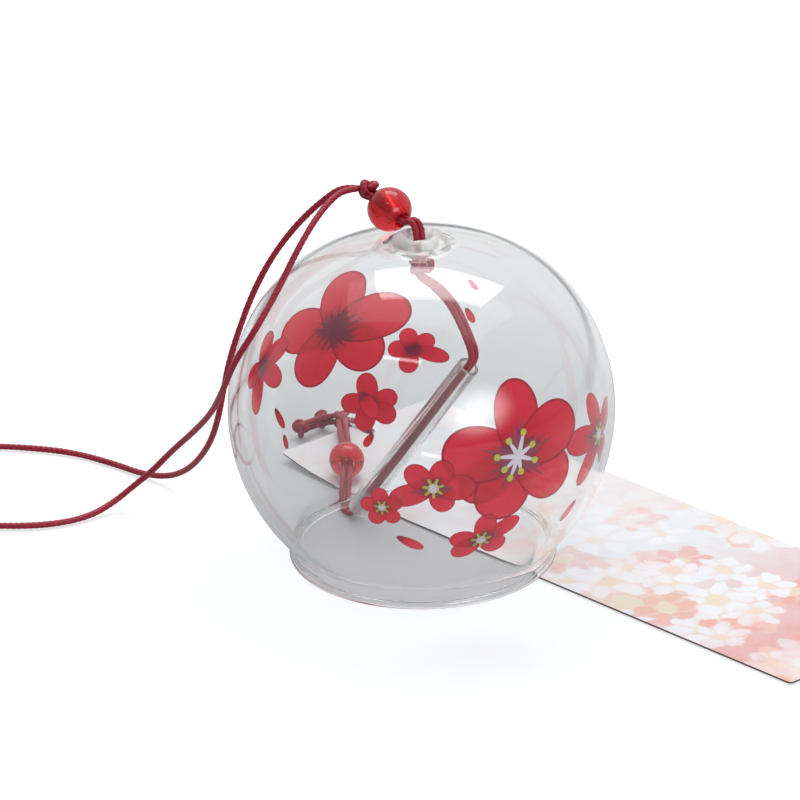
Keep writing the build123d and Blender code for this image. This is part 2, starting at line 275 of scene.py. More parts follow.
def smooth_route(name, points, closed=False):
    """The even points of a smooth curve with a route's points, in millimetres, as its control points."""
    data = bpy.data.curves.new(name, "CURVE")
    data.dimensions = "3D"
    data.resolution_u = 24
    line = data.splines.new("NURBS")
    line.points.add(len(points) - 1)
    for spot, point in zip(line.points, points):
        spot.co = (*[value * mm for value in point], 1)
    line.order_u = 3
    line.use_cyclic_u = closed
    line.use_endpoint_u = not closed
    places = [vert.co.copy() for vert in traced(data).vertices]
    if closed:
        places.append(places[0].copy())
    runs = [(b - a).length for a, b in zip(places, places[1:])]
    count = max(8, round(sum(runs) / (TWIST / TWIST_STEPS)))
    step = sum(runs) / count
    even = [places[0]]
    gone = 0.0
    index = 0
    for mark in range(1, count):
        while gone + runs[index] < mark * step:
            gone += runs[index]
            index += 1
        even.append(places[index].lerp(places[index + 1], (mark * step - gone) / runs[index]))
    return even + [places[-1]]


def twisted_cord(name, points, thick=CORD, closed=False):
    """Three plies laid round a smooth route as one mesh, and the route's even points."""
    route = smooth_route(name, points, closed)
    count = len(route) - 1
    ways = []
    for index in range(count + 1):
        before = route[index - 1] if index else (route[-2] if closed else route[0])
        after = route[index + 1] if index < count else (route[1] if closed else route[-1])
        ways.append((after - before).normalized())
    side = ways[0].orthogonal().normalized()
    sides = [side]
    for here, there in zip(ways, ways[1:]):
        side = here.rotation_difference(there) @ side
        sides.append((side - there * side.dot(there)).normalized())
    turns = round(count / TWIST_STEPS)
    slip = 0.0
    if closed:
        slip = atan2(sides[-1].cross(sides[0]).dot(ways[0]), sides[-1].dot(sides[0]))
    data = bpy.data.curves.new(name, "CURVE")
    data.dimensions = "3D"
    data.bevel_depth = PLY_SHARE * thick
    data.bevel_resolution = 2
    data.use_fill_caps = True
    for ply in range(3):
        line = data.splines.new("POLY")
        last = count if closed else count + 1
        line.points.add(last - 1)
        line.use_cyclic_u = closed
        for index in range(last):
            angle = 2 * pi * ply / 3 + (2 * pi * turns + slip) * index / count
            lay = sides[index] * cos(angle) + ways[index].cross(sides[index]) * sin(angle)
            line.points[index].co = (*(route[index] + lay * LAY_SHARE * thick), 1)
    mesh = traced(data)
    mesh.materials.clear()
    mesh.materials.append(satin_cord)
    mesh.shade_smooth()
    piece = bpy.data.objects.new(name, mesh)
    bpy.context.scene.collection.objects.link(piece)
    return piece, route


def moved(points, way, reach):
    """A route's points moved sideways, for one strand of a doubled cord."""
    return [[p + w * reach for p, w in zip(point, way)] for point in points]


hanging_loop, loop_route = twisted_cord(
    "hanging_cord",
    [
        (-11.9, 9.3, 78.0), (-16.1, 11.0, 78.4), (-20.9, 12.5, 74.4), (-25.9, 13.6, 69.1),
        (-31.0, 14.1, 62.1), (-35.2, 13.6, 54.2), (-38.4, 12.0, 45.8), (-40.6, 11.0, 38.6),
        (-41.9, 11.0, 31.6), (-42.9, 12.6, 26.0), (-44.5, 17.2, 19.3), (-47.0, 23.3, 12.7),
        (-50.4, 31.0, 6.3), (-54.6, 37.6, 1.9), (-60.3, 41.5, 0.75), (-67.0, 47.4, 0.75),
        (-76.0, 53.6, 0.75), (-85.5, 56.4, 0.75), (-96.0, 57.6, 0.75), (-106.0, 54.5, 0.75),
        (-113.0, 46.5, 0.75), (-115.5, 36.0, 0.75), (-112.0, 25.5, 0.75), (-104.0, 17.5, 0.75),
        (-94.0, 14.0, 0.75), (-84.0, 13.6, 0.75), (-76.5, 15.2, 0.75), (-70.5, 19.2, 0.75),
        (-65.8, 23.6, 2.0), (-61.6, 25.0, 5.2), (-57.6, 24.0, 9.0), (-53.4, 20.5, 14.9),
        (-48.2, 13.0, 22.6), (-44.0, 2.6, 31.0), (-41.3, -7.7, 39.9), (-38.5, -13.7, 49.0),
        (-34.1, -15.4, 56.6), (-29.8, -9.5, 62.6), (-25.7, -5.0, 70.0), (-22.4, -0.5, 74.5),
        (-19.4, 4.5, 77.0), (-16.0, 8.3, 78.6), (-11.0, 10.4, 78.0),
    ],
)
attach(hanging_loop, "hanger")
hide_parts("hanging_loop")


# Knots: overhand knots pulled tight in the same cord, each a few turns of it on themselves. The stopper
# knot is wider than the glass hole and carries the bell. The others close the loop, tie the card on and
# end the tail.
def overhand_knot(name, centre, way, size, body, node):
    """A tight overhand knot: one closed turn of cord that crosses itself three times."""
    turn = Vector(way).to_track_quat("Z", "Y")
    steps = 24
    swollen = CORD * 1.1
    points = []
    for step in range(steps):
        angle = 2 * pi * step / steps
        east = sin(angle) + 2 * sin(2 * angle)
        north = cos(angle) - 2 * cos(2 * angle)
        rise = -1.5 * sin(3 * angle)
        points.append(Vector(centre) + turn @ (Vector((east, north, rise)) * size))
    piece, _ = twisted_cord(name, points, closed=True, thick=swollen)
    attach(piece, body)
    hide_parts(node)
    return piece


top_knot = overhand_knot(
    "top_knot_turns", (-11.3, 9.8, 77.9), (-0.61, 0.72, 0.33), 0.62, "hanger", "top_knot"
)
overhand_knot(
    "stopper_knot_turns", (-0.78, -2.16, 65.7), (-0.01, -0.03, 1.0), 0.8, "hanger", "stopper_knot"
)
tie_knot = overhand_knot(
    "tie_knot_turns", (-18.56, 66.62, 3.39), (-0.87, 0.5, 0), 0.62, "streamer", "tie_knot"
)
overhand_knot("tail_knot_turns", (-23.2, 68.6, 2.5), (-0.87, -0.5, 0), 0.58, "streamer", "tail_knot")
overhand_knot("end_knot_turns", (-28.4, 62.6, 2.5), (-0.64, -0.77, 0), 0.58, "streamer", "end_knot")

# Neck of the cord: both strands of the same red cord, side by side, out of the stopper knot and through
# the hole, then over the glass collar and through the upper bead into the top knot.
neck = [
    (-0.53, -2.46, 65.7), (-0.72, -2.48, 70.85), (-1.21, -2.07, 74.55), (-2.57, -0.48, 75.05),
    (-3.72, 0.88, 73.61), (-10.69, 9.19, 77.34),
]
across_neck = (0.77, 0.64, 0)
neck_apart = 0.72
neck_a, _ = twisted_cord("neck_strand_a", moved(neck, across_neck, neck_apart))
neck_b, _ = twisted_cord("neck_strand_b", moved(neck, across_neck, -neck_apart))
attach(neck_a, "hanger")
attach(neck_b, "hanger")
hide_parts("neck_cord")

# Glass bell: blown clear soda glass, a ball with a flatter crown, a fire-polished lip and a collar melted
# round the hole. It leans a little towards the viewer, as the lower cord lies under the back of its lip.
LEAN = radians(2.057)
LIFT = radians(70)
bell_up = Vector((-sin(LEAN) * cos(LIFT), -sin(LEAN) * sin(LIFT), cos(LEAN)))
bell_right = (Vector((1, 0, 0)) - bell_up * bell_up.x).normalized()
bell_back = bell_up.cross(bell_right)
lip_ring = 27.05 * mm
lip_round = 0.85 * mm
bell_foot = Vector((0, 0, lip_round + lip_ring * sin(LEAN))) - bell_up * lip_round
bell_place = Matrix((
    (bell_right.x, bell_back.x, bell_up.x, bell_foot.x),
    (bell_right.y, bell_back.y, bell_up.y, bell_foot.y),
    (bell_right.z, bell_back.z, bell_up.z, bell_foot.z),
    (0, 0, 0, 1),
))
ball_middle = Vector((0, 0, 33.0 * mm))
ball = 40.0 * mm
shoulder = 32.0 * mm
shoulder_start = radians(30)
shoulder_middle = ball_middle + Vector((cos(shoulder_start), 0, sin(shoulder_start))) * (ball - shoulder)
crown = 52.257 * mm
crown_middle = Vector((0, 0, 17.965 * mm))
wall = 1.3 * mm


def glass_material(name, tint, lamp_tint, ripple, worked, glare_haze):
    """Clear glass: it bends what is behind it, and lets the lamps through to what it covers.
    Near the place where it was worked in the flame it is uneven and less polished, and a white diffuse layer
    is mixed in there as a painted highlight, with a thinner share of it all over."""
    material, tree, out = new_material(name)
    spot = add(tree, "ShaderNodeTexCoord")
    swell = add(
        tree,
        "ShaderNodeTexNoise",
        {"Vector": spot.outputs["Object"], "Scale": 1 / ripple, "Detail": 1.0},
    )
    blown = add(
        tree,
        "ShaderNodeBump",
        {"Height": swell.outputs["Fac"], "Strength": 0.06, "Distance": ripple / 20},
    )
    away = add(tree, "ShaderNodeVectorMath", {0: spot.outputs["Object"], 1: worked}, operation="DISTANCE")
    flame = add(
        tree,
        "ShaderNodeMapRange",
        {"Value": away.outputs["Value"], "From Min": 8 * mm, "From Max": 6 * mm},
    )
    lump = add(
        tree,
        "ShaderNodeTexNoise",
        {"Vector": spot.outputs["Object"], "Scale": 1 / (2.5 * mm), "Detail": 1.0},
    )
    lump = add(tree, "ShaderNodeMath", {0: lump.outputs["Fac"], 1: flame.outputs[0]}, operation="MULTIPLY")
    lumpy = add(
        tree,
        "ShaderNodeBump",
        {
            "Height": lump.outputs[0],
            "Strength": 0.6,
            "Distance": 0.5 * mm,
            "Normal": blown.outputs["Normal"],
        },
    )
    dull = add(tree, "ShaderNodeMath", {0: flame.outputs[0], 1: 0.22}, operation="MULTIPLY")
    look = add(
        tree,
        "ShaderNodeBsdfPrincipled",
        {
            "Base Color": srgb(tint),
            "Roughness": dull.outputs[0],
            "IOR": 1.5,
            "Transmission Weight": 1.0,
            "Normal": lumpy.outputs["Normal"],
        },
    )
    # Painted highlight: a white diffuse layer mixed into the glass, strongest near the worked place and thin
    # or absent elsewhere.
    painted_glare = add(tree, "ShaderNodeMapRange", {"Value": flame.outputs[0], "To Min": glare_haze, "To Max": 0.3})
    glare_white = add(tree, "ShaderNodeBsdfDiffuse", {"Color": srgb("F6F6F4")})
    look = add(tree, "ShaderNodeMixShader", {0: painted_glare.outputs[0], 1: look.outputs[0], 2: glare_white.outputs[0]})
    clear = add(tree, "ShaderNodeBsdfTransparent", {"Color": srgb(lamp_tint)})
    path = add(tree, "ShaderNodeLightPath")
    mix = add(
        tree,
        "ShaderNodeMixShader",
        {0: path.outputs["Is Shadow Ray"], 1: look.outputs[0], 2: clear.outputs[0]},
    )
    tree.links.new(mix.outputs[0], out.inputs["Surface"])
    return material


# Blown soda glass: nearly colourless, with a slow ripple that bends its reflections a little, and an uneven,
# less polished collar where it was worked in the flame, with a white painted highlight mixed in there.
collar_hole = Vector((-0.85, -2.33, 70.85)) * mm
bell_glass = glass_material(
    "blown_soda_glass",
    tint="FAFBFB",
    lamp_tint="FAFBFB",
    ripple=14 * mm,
    worked=collar_hole,
    glare_haze=0.0,
)


def draw_arc(bm, start, middle, turn, steps):
    """Carries a section's last vertex round a centre by some degrees, and gives the new last vertex."""
    made = bmesh.ops.spin(bm, geom=[start], cent=middle, axis=(0, -1, 0), angle=radians(turn), steps=steps)
    return next(v for v in made["geom_last"] if isinstance(v, bmesh.types.BMVert))


def draw_line(bm, start, end):
    """A straight edge of a section to a point."""
    vert = bm.verts.new(end)
    bm.edges.new((start, vert))
    return vert


def spun(bm, steps):
    """A section turned once round the Z axis into a closed shell."""
    bmesh.ops.spin(
        bm,
        geom=bm.verts[:] + bm.edges[:],
        cent=(0, 0, 0),
        axis=(0, 0, 1),
        angle=2 * pi,
        steps=steps,
        use_merge=True,
    )
    bmesh.ops.remove_doubles(bm, verts=bm.verts, dist=0.002 * mm)
    bmesh.ops.recalc_face_normals(bm, faces=bm.faces)


# Section of the bell, drawn up its outside from the lip to the collar, round the collar and down its inside
# to the lip again. The turns of its arcs are in degrees.
throat_middle = Vector((30.2 * mm, 0, 3.097 * mm))
throat_turn = 44.717
ball_turn = 74.717
shoulder_turn = 40
crown_turn = 13.8
crown_start = 20
crown_hole = 5.05 * mm
collar_middle = Vector((3.9 * mm, 0, 69.924 * mm))
collar_round = 1.7 * mm
collar_turn = 312
lip_angle = degrees(acos(wall / 2 / lip_round))
neck_top = lip_round + lip_round * sin(radians(lip_angle))
bm = bmesh.new()
last = bm.verts.new((lip_ring + wall / 2, 0, neck_top))
last = draw_line(bm, last, (lip_ring + wall / 2, 0, throat_middle.z))
last = draw_arc(bm, last, throat_middle, -throat_turn, steps=8)
last = draw_arc(bm, last, ball_middle, ball_turn, steps=44)
last = draw_arc(bm, last, shoulder_middle, shoulder_turn, steps=20)
last = draw_arc(bm, last, crown_middle, crown_turn, steps=8)
last = draw_line(bm, last, collar_middle + Vector((collar_round, 0, 0.02 * mm)))
last = draw_arc(bm, last, collar_middle, collar_turn, steps=32)
crown_end = degrees(asin(crown_hole / (crown - wall)))
crown_way = Vector((sin(radians(crown_end)), 0, cos(radians(crown_end))))
last = draw_line(bm, last, crown_middle + crown_way * (crown - wall))
last = draw_arc(bm, last, crown_middle, crown_end - crown_start, steps=8)
last = draw_arc(bm, last, shoulder_middle, -shoulder_turn, steps=20)
last = draw_arc(bm, last, ball_middle, -ball_turn, steps=44)
last = draw_arc(bm, last, throat_middle, throat_turn, steps=8)
last = draw_line(bm, last, (lip_ring - wall / 2, 0, neck_top))
last = draw_arc(bm, last, Vector((lip_ring, 0, lip_round)), 180 + 2 * lip_angle, steps=20)
spun(bm, steps=160)
bm.normal_update()
lump_height = 0.35 * mm
lump_size = 2.2 * mm
for vert in bm.verts:
    off_ring = hypot(hypot(vert.co.x, vert.co.y) - collar_middle.x, vert.co.z - collar_middle.z)
    if off_ring < collar_round + 0.05 * mm:
        vert.co += vert.normal * (lump_height * noise.noise(vert.co / lump_size))
bm.transform(bell_place)
bell = finished(bm, "blown_bell", bell_glass)
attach(bell, "bell")
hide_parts("glass_bell")


# Painted blossoms: red plum blossoms in enamel, painted by hand on the inside of the glass, one spray
# at the front and one at the back. The stamens were painted first, so they show through the glass.

# Each coat's distance from the glass in millimetres: what was painted first lies nearest to it.
PETAL_LIFT = 0.12
HEART_LIFT = 0.09
STAMEN_LIFT = 0.06
POLLEN_LIFT = 0.04


def on_glass(azimuth, latitude, east, north, lift):
    """A point just inside the bell's inner face, east and north of a place on it, in millimetres."""
    a = radians(azimuth)
    b = radians(latitude)
    out_way = Vector((cos(b) * cos(a), cos(b) * sin(a), sin(b)))
    east_way = Vector((-sin(a), cos(a), 0))
    north_way = out_way.cross(east_way)
    reach = hypot(east, north)
    if reach > 0:
        swing = reach * mm / ball
        out_way = out_way * cos(swing) + (east_way * east + north_way * north) * (sin(swing) / reach)
    rise = asin(max(-1, min(1, out_way.z)))
    over = max(0, rise - shoulder_start)
    gap = ball - shoulder
    distance = gap * cos(over) + sqrt((shoulder - wall) ** 2 - (gap * sin(over)) ** 2)
    return bell_place @ (ball_middle + out_way * (distance - lift * mm))


def brush_petal(bm, azimuth, latitude, start, end, width, lift, fullness=0.35):
    """A rounded petal painted from one spot to another, in millimetres east and north of a place."""
    run = bm.loops.layers.uv["UVMap"]
    grid = bmesh.ops.create_grid(bm, x_segments=14, y_segments=12, size=1.0)
    way = Vector((end[0] - start[0], end[1] - start[1], 0))
    side = Vector((-way.y, way.x, 0)).normalized()
    spots = {}
    for vert in grid["verts"]:
        x, y = vert.co.x, vert.co.y
        spots[vert] = (x * sqrt(1 - y * y / 2), y * sqrt(1 - x * x / 2))
    for vert, (x, y) in spots.items():
        share = (x + 1) / 2
        belly = 1 + fullness * (share - 0.5)
        spot = Vector((start[0], start[1], 0)) + way * share + side * (y * belly * width / 2)
        vert.co = on_glass(azimuth, latitude, spot.x, spot.y, lift)
    for face in {f for v in grid["verts"] for f in v.link_faces}:
        for loop in face.loops:
            x, y = spots[loop.vert]
            loop[run].uv = ((x + 1) / 2, (y + 1) / 2)


def blossom(bm, azimuth, latitude, petals):
    """A flower of petals, each given as its length, its bearing from east and its width."""
    for layer, (length, bearing, width) in enumerate(petals):
        way = (cos(radians(bearing)), sin(radians(bearing)))
        heart = -0.05 * length
        brush_petal(
            bm,
            azimuth,
            latitude,
            (way[0] * heart, way[1] * heart),
            (way[0] * length, way[1] * length),
            width,
            PETAL_LIFT + 0.015 * layer,
        )


# Enamel paint: opaque red that glows a little where light comes through it, brushed from a burgundy heart
# in pointed strokes, with a fine burgundy line round each petal.
red_enamel, tree, out = new_material("red_enamel")
petal = add(tree, "ShaderNodeUVMap")
part = add(tree, "ShaderNodeSeparateXYZ", {0: petal.outputs["UV"]})
brush = add(tree, "ShaderNodeTexNoise", {"Vector": petal.outputs["UV"], "Scale": 4.0, "Detail": 2.0})
across = add(tree, "ShaderNodeMath", {0: part.outputs["Y"], 1: 0.5}, operation="SUBTRACT")
wave = add(tree, "ShaderNodeMath", {0: across.outputs[0], 1: 42.0}, operation="MULTIPLY")
wave = add(tree, "ShaderNodeMath", {0: wave.outputs[0]}, operation="COSINE")
middle = add(tree, "ShaderNodeMath", {0: across.outputs[0]}, operation="ABSOLUTE")
stroke = add(
    tree,
    "ShaderNodeMapRange",
    {"Value": middle.outputs[0], "From Max": 0.4, "To Min": 0.2, "To Max": 0.03},
)
vein = add(tree, "ShaderNodeMapRange", {"Value": wave.outputs[0], "From Min": 0.1, "From Max": 1.0})
vein = add(tree, "ShaderNodeMath", {0: vein.outputs[0], 1: stroke.outputs[0]}, operation="MULTIPLY")
wobble = add(tree, "ShaderNodeMath", {0: brush.outputs["Fac"], 1: 0.12}, operation="MULTIPLY")
share = add(tree, "ShaderNodeMath", {0: part.outputs["X"], 1: wobble.outputs[0]}, operation="ADD")
share = add(tree, "ShaderNodeMath", {0: share.outputs[0], 1: vein.outputs[0]}, operation="SUBTRACT")
tone = add(tree, "ShaderNodeValToRGB", {"Fac": share.outputs[0]})
tone.color_ramp.elements[0].position = 0.22
tone.color_ramp.elements[0].color = srgb("9E2A4A")
tone.color_ramp.elements[1].position = 1.0
tone.color_ramp.elements[1].color = srgb("EC344A")
body = tone.color_ramp.elements.new(0.34)
body.color = srgb("E6263E")
from_middle = add(
    tree,
    "ShaderNodeVectorMath",
    {0: petal.outputs["UV"], 1: (0.5, 0.5, 0)},
    operation="DISTANCE",
)
line = add(
    tree,
    "ShaderNodeMapRange",
    {"Value": from_middle.outputs["Value"], "From Min": 0.455, "From Max": 0.482, "To Max": 0.75},
)
tone = add(
    tree,
    "ShaderNodeMix",
    {"Factor": line.outputs[0], "A": tone.outputs["Color"], "B": srgb("982440")},
    data_type="RGBA",
)
paint = add(
    tree,
    "ShaderNodeBsdfPrincipled",
    {"Base Color": tone.outputs["Result"], "Roughness": 0.6, "Specular IOR Level": 0.0},
)
glow = add(tree, "ShaderNodeBsdfTranslucent", {"Color": tone.outputs["Result"]})
look = add(tree, "ShaderNodeMixShader", {0: 0.4, 1: paint.outputs[0], 2: glow.outputs[0]})
tree.links.new(look.outputs[0], out.inputs["Surface"])

# Flowers: each has its azimuth and latitude on the ball, and its petals' lengths, bearings and widths.
front_flowers = (
    (
        -60.2, 6.3,
        (
            (17.0, 20, 12.0), (16.2, 84, 10.5), (15.6, -37, 11.8), (16.8, 168, 12.2), (14.8, -116, 12.6),
            (14.6, -152, 9.5),
        ),
    ),
    (-86.7, -0.3, ((7.2, 140, 5.0), (6.6, 62, 5.0), (9.0, -2, 5.8), (6.2, -58, 5.0), (9.5, -163, 5.0))),
    (-102.0, -7.0, ((4.6, 98, 3.6), (4.6, 170, 3.6), (4.6, 242, 3.6), (4.6, 314, 3.6), (4.6, 26, 3.6))),
    (-71.4, -20.4, ((6.8, 80, 4.8), (9.2, 26, 4.2), (6.2, -30, 5.0), (7.0, -146, 4.6), (6.8, 172, 4.6))),
    (-24.0, 1.2, ((10.0, 102, 5.2), (9.6, 30, 5.0), (9.2, -60, 4.8), (11.8, -132, 5.0), (12.5, 170, 6.2))),
)
back_flowers = (
    (
        118.5, 4.8,
        ((16.4, 16, 11.5), (16.6, 97, 11.0), (14.5, -47, 11.0), (14.0, -139, 11.0), (18.2, 165, 12.4)),
    ),
    (92.8, -5.1, ((5.8, 148, 4.2), (8.6, 194, 3.6), (5.6, -75, 4.4), (5.5, 5, 4.2), (5.5, 76, 4.2))),
    (151.5, 2.8, ((8.2, 105, 5.2), (10.0, 165, 5.4), (9.5, -136, 5.2), (11.0, -61, 5.2), (8.0, -8, 5.2))),
    (107.9, -22.3, ((7.5, 85, 5.0), (7.2, 14, 4.6), (6.5, 166, 4.6), (6.4, -143, 4.8), (6.2, -59, 4.8))),
)
bm = bmesh.new()
bm.loops.layers.uv.new("UVMap")
for azimuth, latitude, petals in front_flowers:
    blossom(bm, azimuth, latitude, petals)
brush_petal(bm, -94.0, -19.8, (-2.7, 1.7), (2.7, -1.6), 2.4, PETAL_LIFT)
brush_petal(bm, -38.0, -18.5, (2.6, 1.2), (-1.2, -3.0), 2.4, PETAL_LIFT)
brush_petal(bm, -107.0, 24.2, (-2.0, 2.4), (1.9, -2.5), 3.4, PETAL_LIFT - 0.02)
brush_petal(bm, -106.2, 14.0, (0.9, 1.4), (-0.8, -1.5), 1.7, PETAL_LIFT)
brush_petal(bm, -138.6, 13.8, (-1.8, 1.5), (1.9, -1.6), 1.8, PETAL_LIFT)
brush_petal(bm, -134.8, 7.6, (-0.6, 1.4), (0.6, -1.4), 1.4, PETAL_LIFT)
front_spray = finished(bm, "front_blossoms", red_enamel)
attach(front_spray, "bell")

bm = bmesh.new()
bm.loops.layers.uv.new("UVMap")
for azimuth, latitude, petals in back_flowers:
    blossom(bm, azimuth, latitude, petals)
brush_petal(bm, 73.9, 7.9, (0.8, 2.0), (-0.8, -1.9), 1.8, PETAL_LIFT)
brush_petal(bm, 71.8, 20.2, (0.8, 1.4), (-0.9, -1.3), 1.5, PETAL_LIFT)
back_spray = finished(bm, "back_blossoms", red_enamel)
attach(back_spray, "bell")


# Hearts and stamens: pointed burgundy strokes from each heart, then lilac-white strokes with yellow-green
# dots in the large flowers, and a lilac-white dab with short yellow-green strokes in the small ones.
def dabbed_enamel(name, light, dark):
    """Enamel in small dabs, a little thinner and darker in places."""
    material, tree, out = new_material(name)
    spot = add(tree, "ShaderNodeTexCoord")
    dab = add(
        tree,
        "ShaderNodeTexNoise",
        {"Vector": spot.outputs["Object"], "Scale": 1 / (0.7 * mm), "Detail": 2.0},
    )
    tone = add(
        tree,
        "ShaderNodeMix",
        {"Factor": dab.outputs["Fac"], "A": srgb(light), "B": srgb(dark)},
        data_type="RGBA",
    )
    look = add(tree, "ShaderNodeBsdfPrincipled", {"Base Color": tone.outputs["Result"], "Roughness": 0.4})
    tree.links.new(look.outputs[0], out.inputs["Surface"])
    return material


# Burgundy enamel: thin dark wine-red strokes, pointed at the end, four in each petal.
heart_fan = ((-19, 0.36), (-7, 0.56), (5, 0.48), (17, 0.38))
wine = bmesh.new()
wine.loops.layers.uv.new("UVMap")
for azimuth, latitude, petals in front_flowers + back_flowers:
    for length, bearing, width in petals:
        for fan, share in heart_fan:
            way = Vector((cos(radians(bearing + fan)), sin(radians(bearing + fan))))
            tip = way * (share * length)
            brush_petal(wine, azimuth, latitude, way * 0.5, tip, 0.075 * width, HEART_LIFT, fullness=-1.7)
burgundy = finished(wine, "heart_strokes", dabbed_enamel("burgundy_enamel", "A02A48", "842042"))
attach(burgundy, "bell")

# Lilac and yellow-green enamel: the pale strokes and the bright dots that stand out on the red.
long_stamens = ((5.0, 70), (4.0, 118), (4.8, 172), (4.0, 214), (4.8, 244), (3.4, 277), (4.2, 336), (3.9, 26))
short_reaches = (2.3, 1.7, 2.2, 2.6, 2.0, 2.6, 2.3)
short_count = 7
dot = 0.8
lilac = bmesh.new()
lilac.loops.layers.uv.new("UVMap")
pollen = bmesh.new()
pollen.loops.layers.uv.new("UVMap")
for azimuth, latitude, _ in (front_flowers[0], back_flowers[0]):
    for length, bearing in long_stamens:
        way = Vector((cos(radians(bearing)), sin(radians(bearing))))
        brush_petal(lilac, azimuth, latitude, way * -0.6, way * length, 0.95, STAMEN_LIFT, fullness=-0.5)
        dot_start = way * (length - dot)
        dot_end = way * (length + dot)
        brush_petal(pollen, azimuth, latitude, dot_start, dot_end, 1.4, POLLEN_LIFT, fullness=0.3)
for (azimuth, latitude, _), reach in zip(front_flowers[1:] + back_flowers[1:], short_reaches):
    half = 0.5 * reach
    brush_petal(lilac, azimuth, latitude, (-half, 0), (half, 0), 0.95 * reach, STAMEN_LIFT, fullness=0)
    for step in range(short_count):
        bearing = radians(15 + 360 * step / short_count)
        way = Vector((cos(bearing), sin(bearing)))
        start = way * (0.3 * reach)
        width = 0.26 * reach
        brush_petal(pollen, azimuth, latitude, start, way * reach, width, POLLEN_LIFT, fullness=0.5)
stamens = finished(lilac, "stamen_strokes", dabbed_enamel("lilac_enamel", "F4EEF8", "DCD2E4"))
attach(stamens, "bell")
anthers = finished(pollen, "stamen_dots", dabbed_enamel("yellow_green_enamel", "DAD44C", "B8B63E"))
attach(anthers, "bell")

# Beads: two round beads of clear red glass, bored through with eased edges and threaded on the doubled
# cord. The upper one rests on the crown beside the hole, and the lower one lies behind the bell.

# Red glass: deep and clear, with faint streaks where the colour was stirred into the melt.
bead_glass, tree, out = new_material("red_bead_glass")
spot = add(tree, "ShaderNodeTexCoord")
streak = add(
    tree,
    "ShaderNodeTexNoise",
    {"Vector": spot.outputs["Object"], "Scale": 1 / (3 * mm), "Detail": 2.0},
)
stirred = add(
    tree,
    "ShaderNodeMix",
    {"Factor": streak.outputs["Fac"], "A": srgb("EA1E2A"), "B": srgb("F83C40")},
    data_type="RGBA",
)
look = add(
    tree,
    "ShaderNodeBsdfPrincipled",
    {"Base Color": stirred.outputs["Result"], "Roughness": 0.05, "IOR": 1.5, "Transmission Weight": 0.8},
)
tree.links.new(look.outputs[0], out.inputs["Surface"])


def turned_bead(name, centre, way, size, body, node):
    """A ball with a bore and rounded bore edges, turned round the cord's line."""
    bore = 1.75 * mm
    ease = 0.3 * mm
    half = size * mm / 2
    open_angle = degrees(asin((bore + ease) / (half - ease)))
    bm = bmesh.new()
    edge = Vector((bore + ease, 0, (half - ease) * cos(radians(open_angle))))
    last = bm.verts.new(edge + Vector((sin(radians(open_angle)), 0, cos(radians(open_angle)))) * ease)
    last = draw_arc(bm, last, edge, 90 + open_angle, steps=6)
    low = Vector((edge.x, 0, -edge.z))
    last = draw_line(bm, last, low - Vector((ease, 0, 0)))
    last = draw_arc(bm, last, low, 90 + open_angle, steps=6)
    last = draw_arc(bm, last, Vector((0, 0, 0)), 180 - 2 * open_angle, steps=36)
    spun(bm, steps=64)
    facing = Vector(way).to_track_quat("Z", "Y").to_matrix().to_4x4()
    bm.transform(Matrix.Translation(Vector(centre) * mm) @ facing)
    piece = finished(bm, name, bead_glass)
    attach(piece, body)
    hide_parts(node)


turned_bead(
    "upper_red_bead",
    centre=(-6.943, 4.723, 75.335),
    way=(-0.6078, 0.7243, 0.3256),
    size=9.2,
    body="upper_bead",
    node="upper_bead",
)
turned_bead(
    "lower_red_bead",
    centre=(-16.875, 38.992, 4.853),
    way=(-0.0349, 0.9994, 0),
    size=8.0,
    body="lower_bead",
    node="lower_bead",
)

# Clapper: a cut length of drawn clear glass tube with fire-polished ends, threaded on the doubled cord.
# It leans across the inside of the bell, with its foot by the back of the lip.

# Drawn tube glass: clear, with a thin white painted haze all over that stands in for the pale reflections
# along its walls beside the red cord, and a stronger one at its foot as a painted highlight.
foot = Vector((-13.962, 18.528, 2.3))
tube_up = Vector((0.4662, -0.3651, 0.8058))
tube_glass = glass_material(
    "drawn_tube_glass",
    tint="F8F9F9",
    lamp_tint="F6F7F8",
    ripple=5 * mm,
    worked=foot * mm,
    glare_haze=0.03,
)
bm = bmesh.new()
ease = 0.2 * mm
outer = 2.3 * mm
inner = 1.65 * mm
tall = 50.0 * mm
last = bm.verts.new((outer, 0, ease))
last = draw_line(bm, last, (outer, 0, tall - ease))
last = draw_arc(bm, last, Vector((outer - ease, 0, tall - ease)), 90, steps=5)
last = draw_line(bm, last, (inner + ease, 0, tall))
last = draw_arc(bm, last, Vector((inner + ease, 0, tall - ease)), 90, steps=5)
last = draw_line(bm, last, (inner, 0, ease))
last = draw_arc(bm, last, Vector((inner + ease, 0, ease)), 90, steps=5)
last = draw_line(bm, last, (outer - ease, 0, 0))
last = draw_arc(bm, last, Vector((outer - ease, 0, ease)), 90, steps=5)
spun(bm, steps=64)
bm.transform(Matrix.Translation(foot * mm) @ tube_up.to_track_quat("Z", "Y").to_matrix().to_4x4())
tube = finished(bm, "clapper_glass_tube", tube_glass)
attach(tube, "clapper_tube")
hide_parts("clapper_tube")

# Clapper cord: both strands of the same red cord, held by the stopper knot, bowed to the right and then
# down through the tube. They start close together inside the knot.
from_knot = [(-1.0, -1.8, 64.6), (-1.3, -1.4, 63.0)]
to_foot = [
    (2.4, -1.4, 61.0), (6.0, -0.7, 56.8), (8.9, -0.9, 50.4), (10.75, -0.82, 45.01),
    (8.9, 0.64, 41.8), (5.6, 3.2, 36.1), (-13.96, 18.53, 2.3),
]
across_tube = (0.62, 0.79, 0)
knot_apart = 0.3
tube_apart = 0.74
clapper_a, clapper_a_route = twisted_cord(
    "clapper_strand_a",
    moved(from_knot, across_tube, knot_apart) + moved(to_foot, across_tube, tube_apart),
)
clapper_b, clapper_b_route = twisted_cord(
    "clapper_strand_b",
    moved(from_knot, across_tube, -knot_apart) + moved(to_foot, across_tube, -tube_apart),
)
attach(clapper_a, "clapper")
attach(clapper_b, "clapper")
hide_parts("clapper_cord")

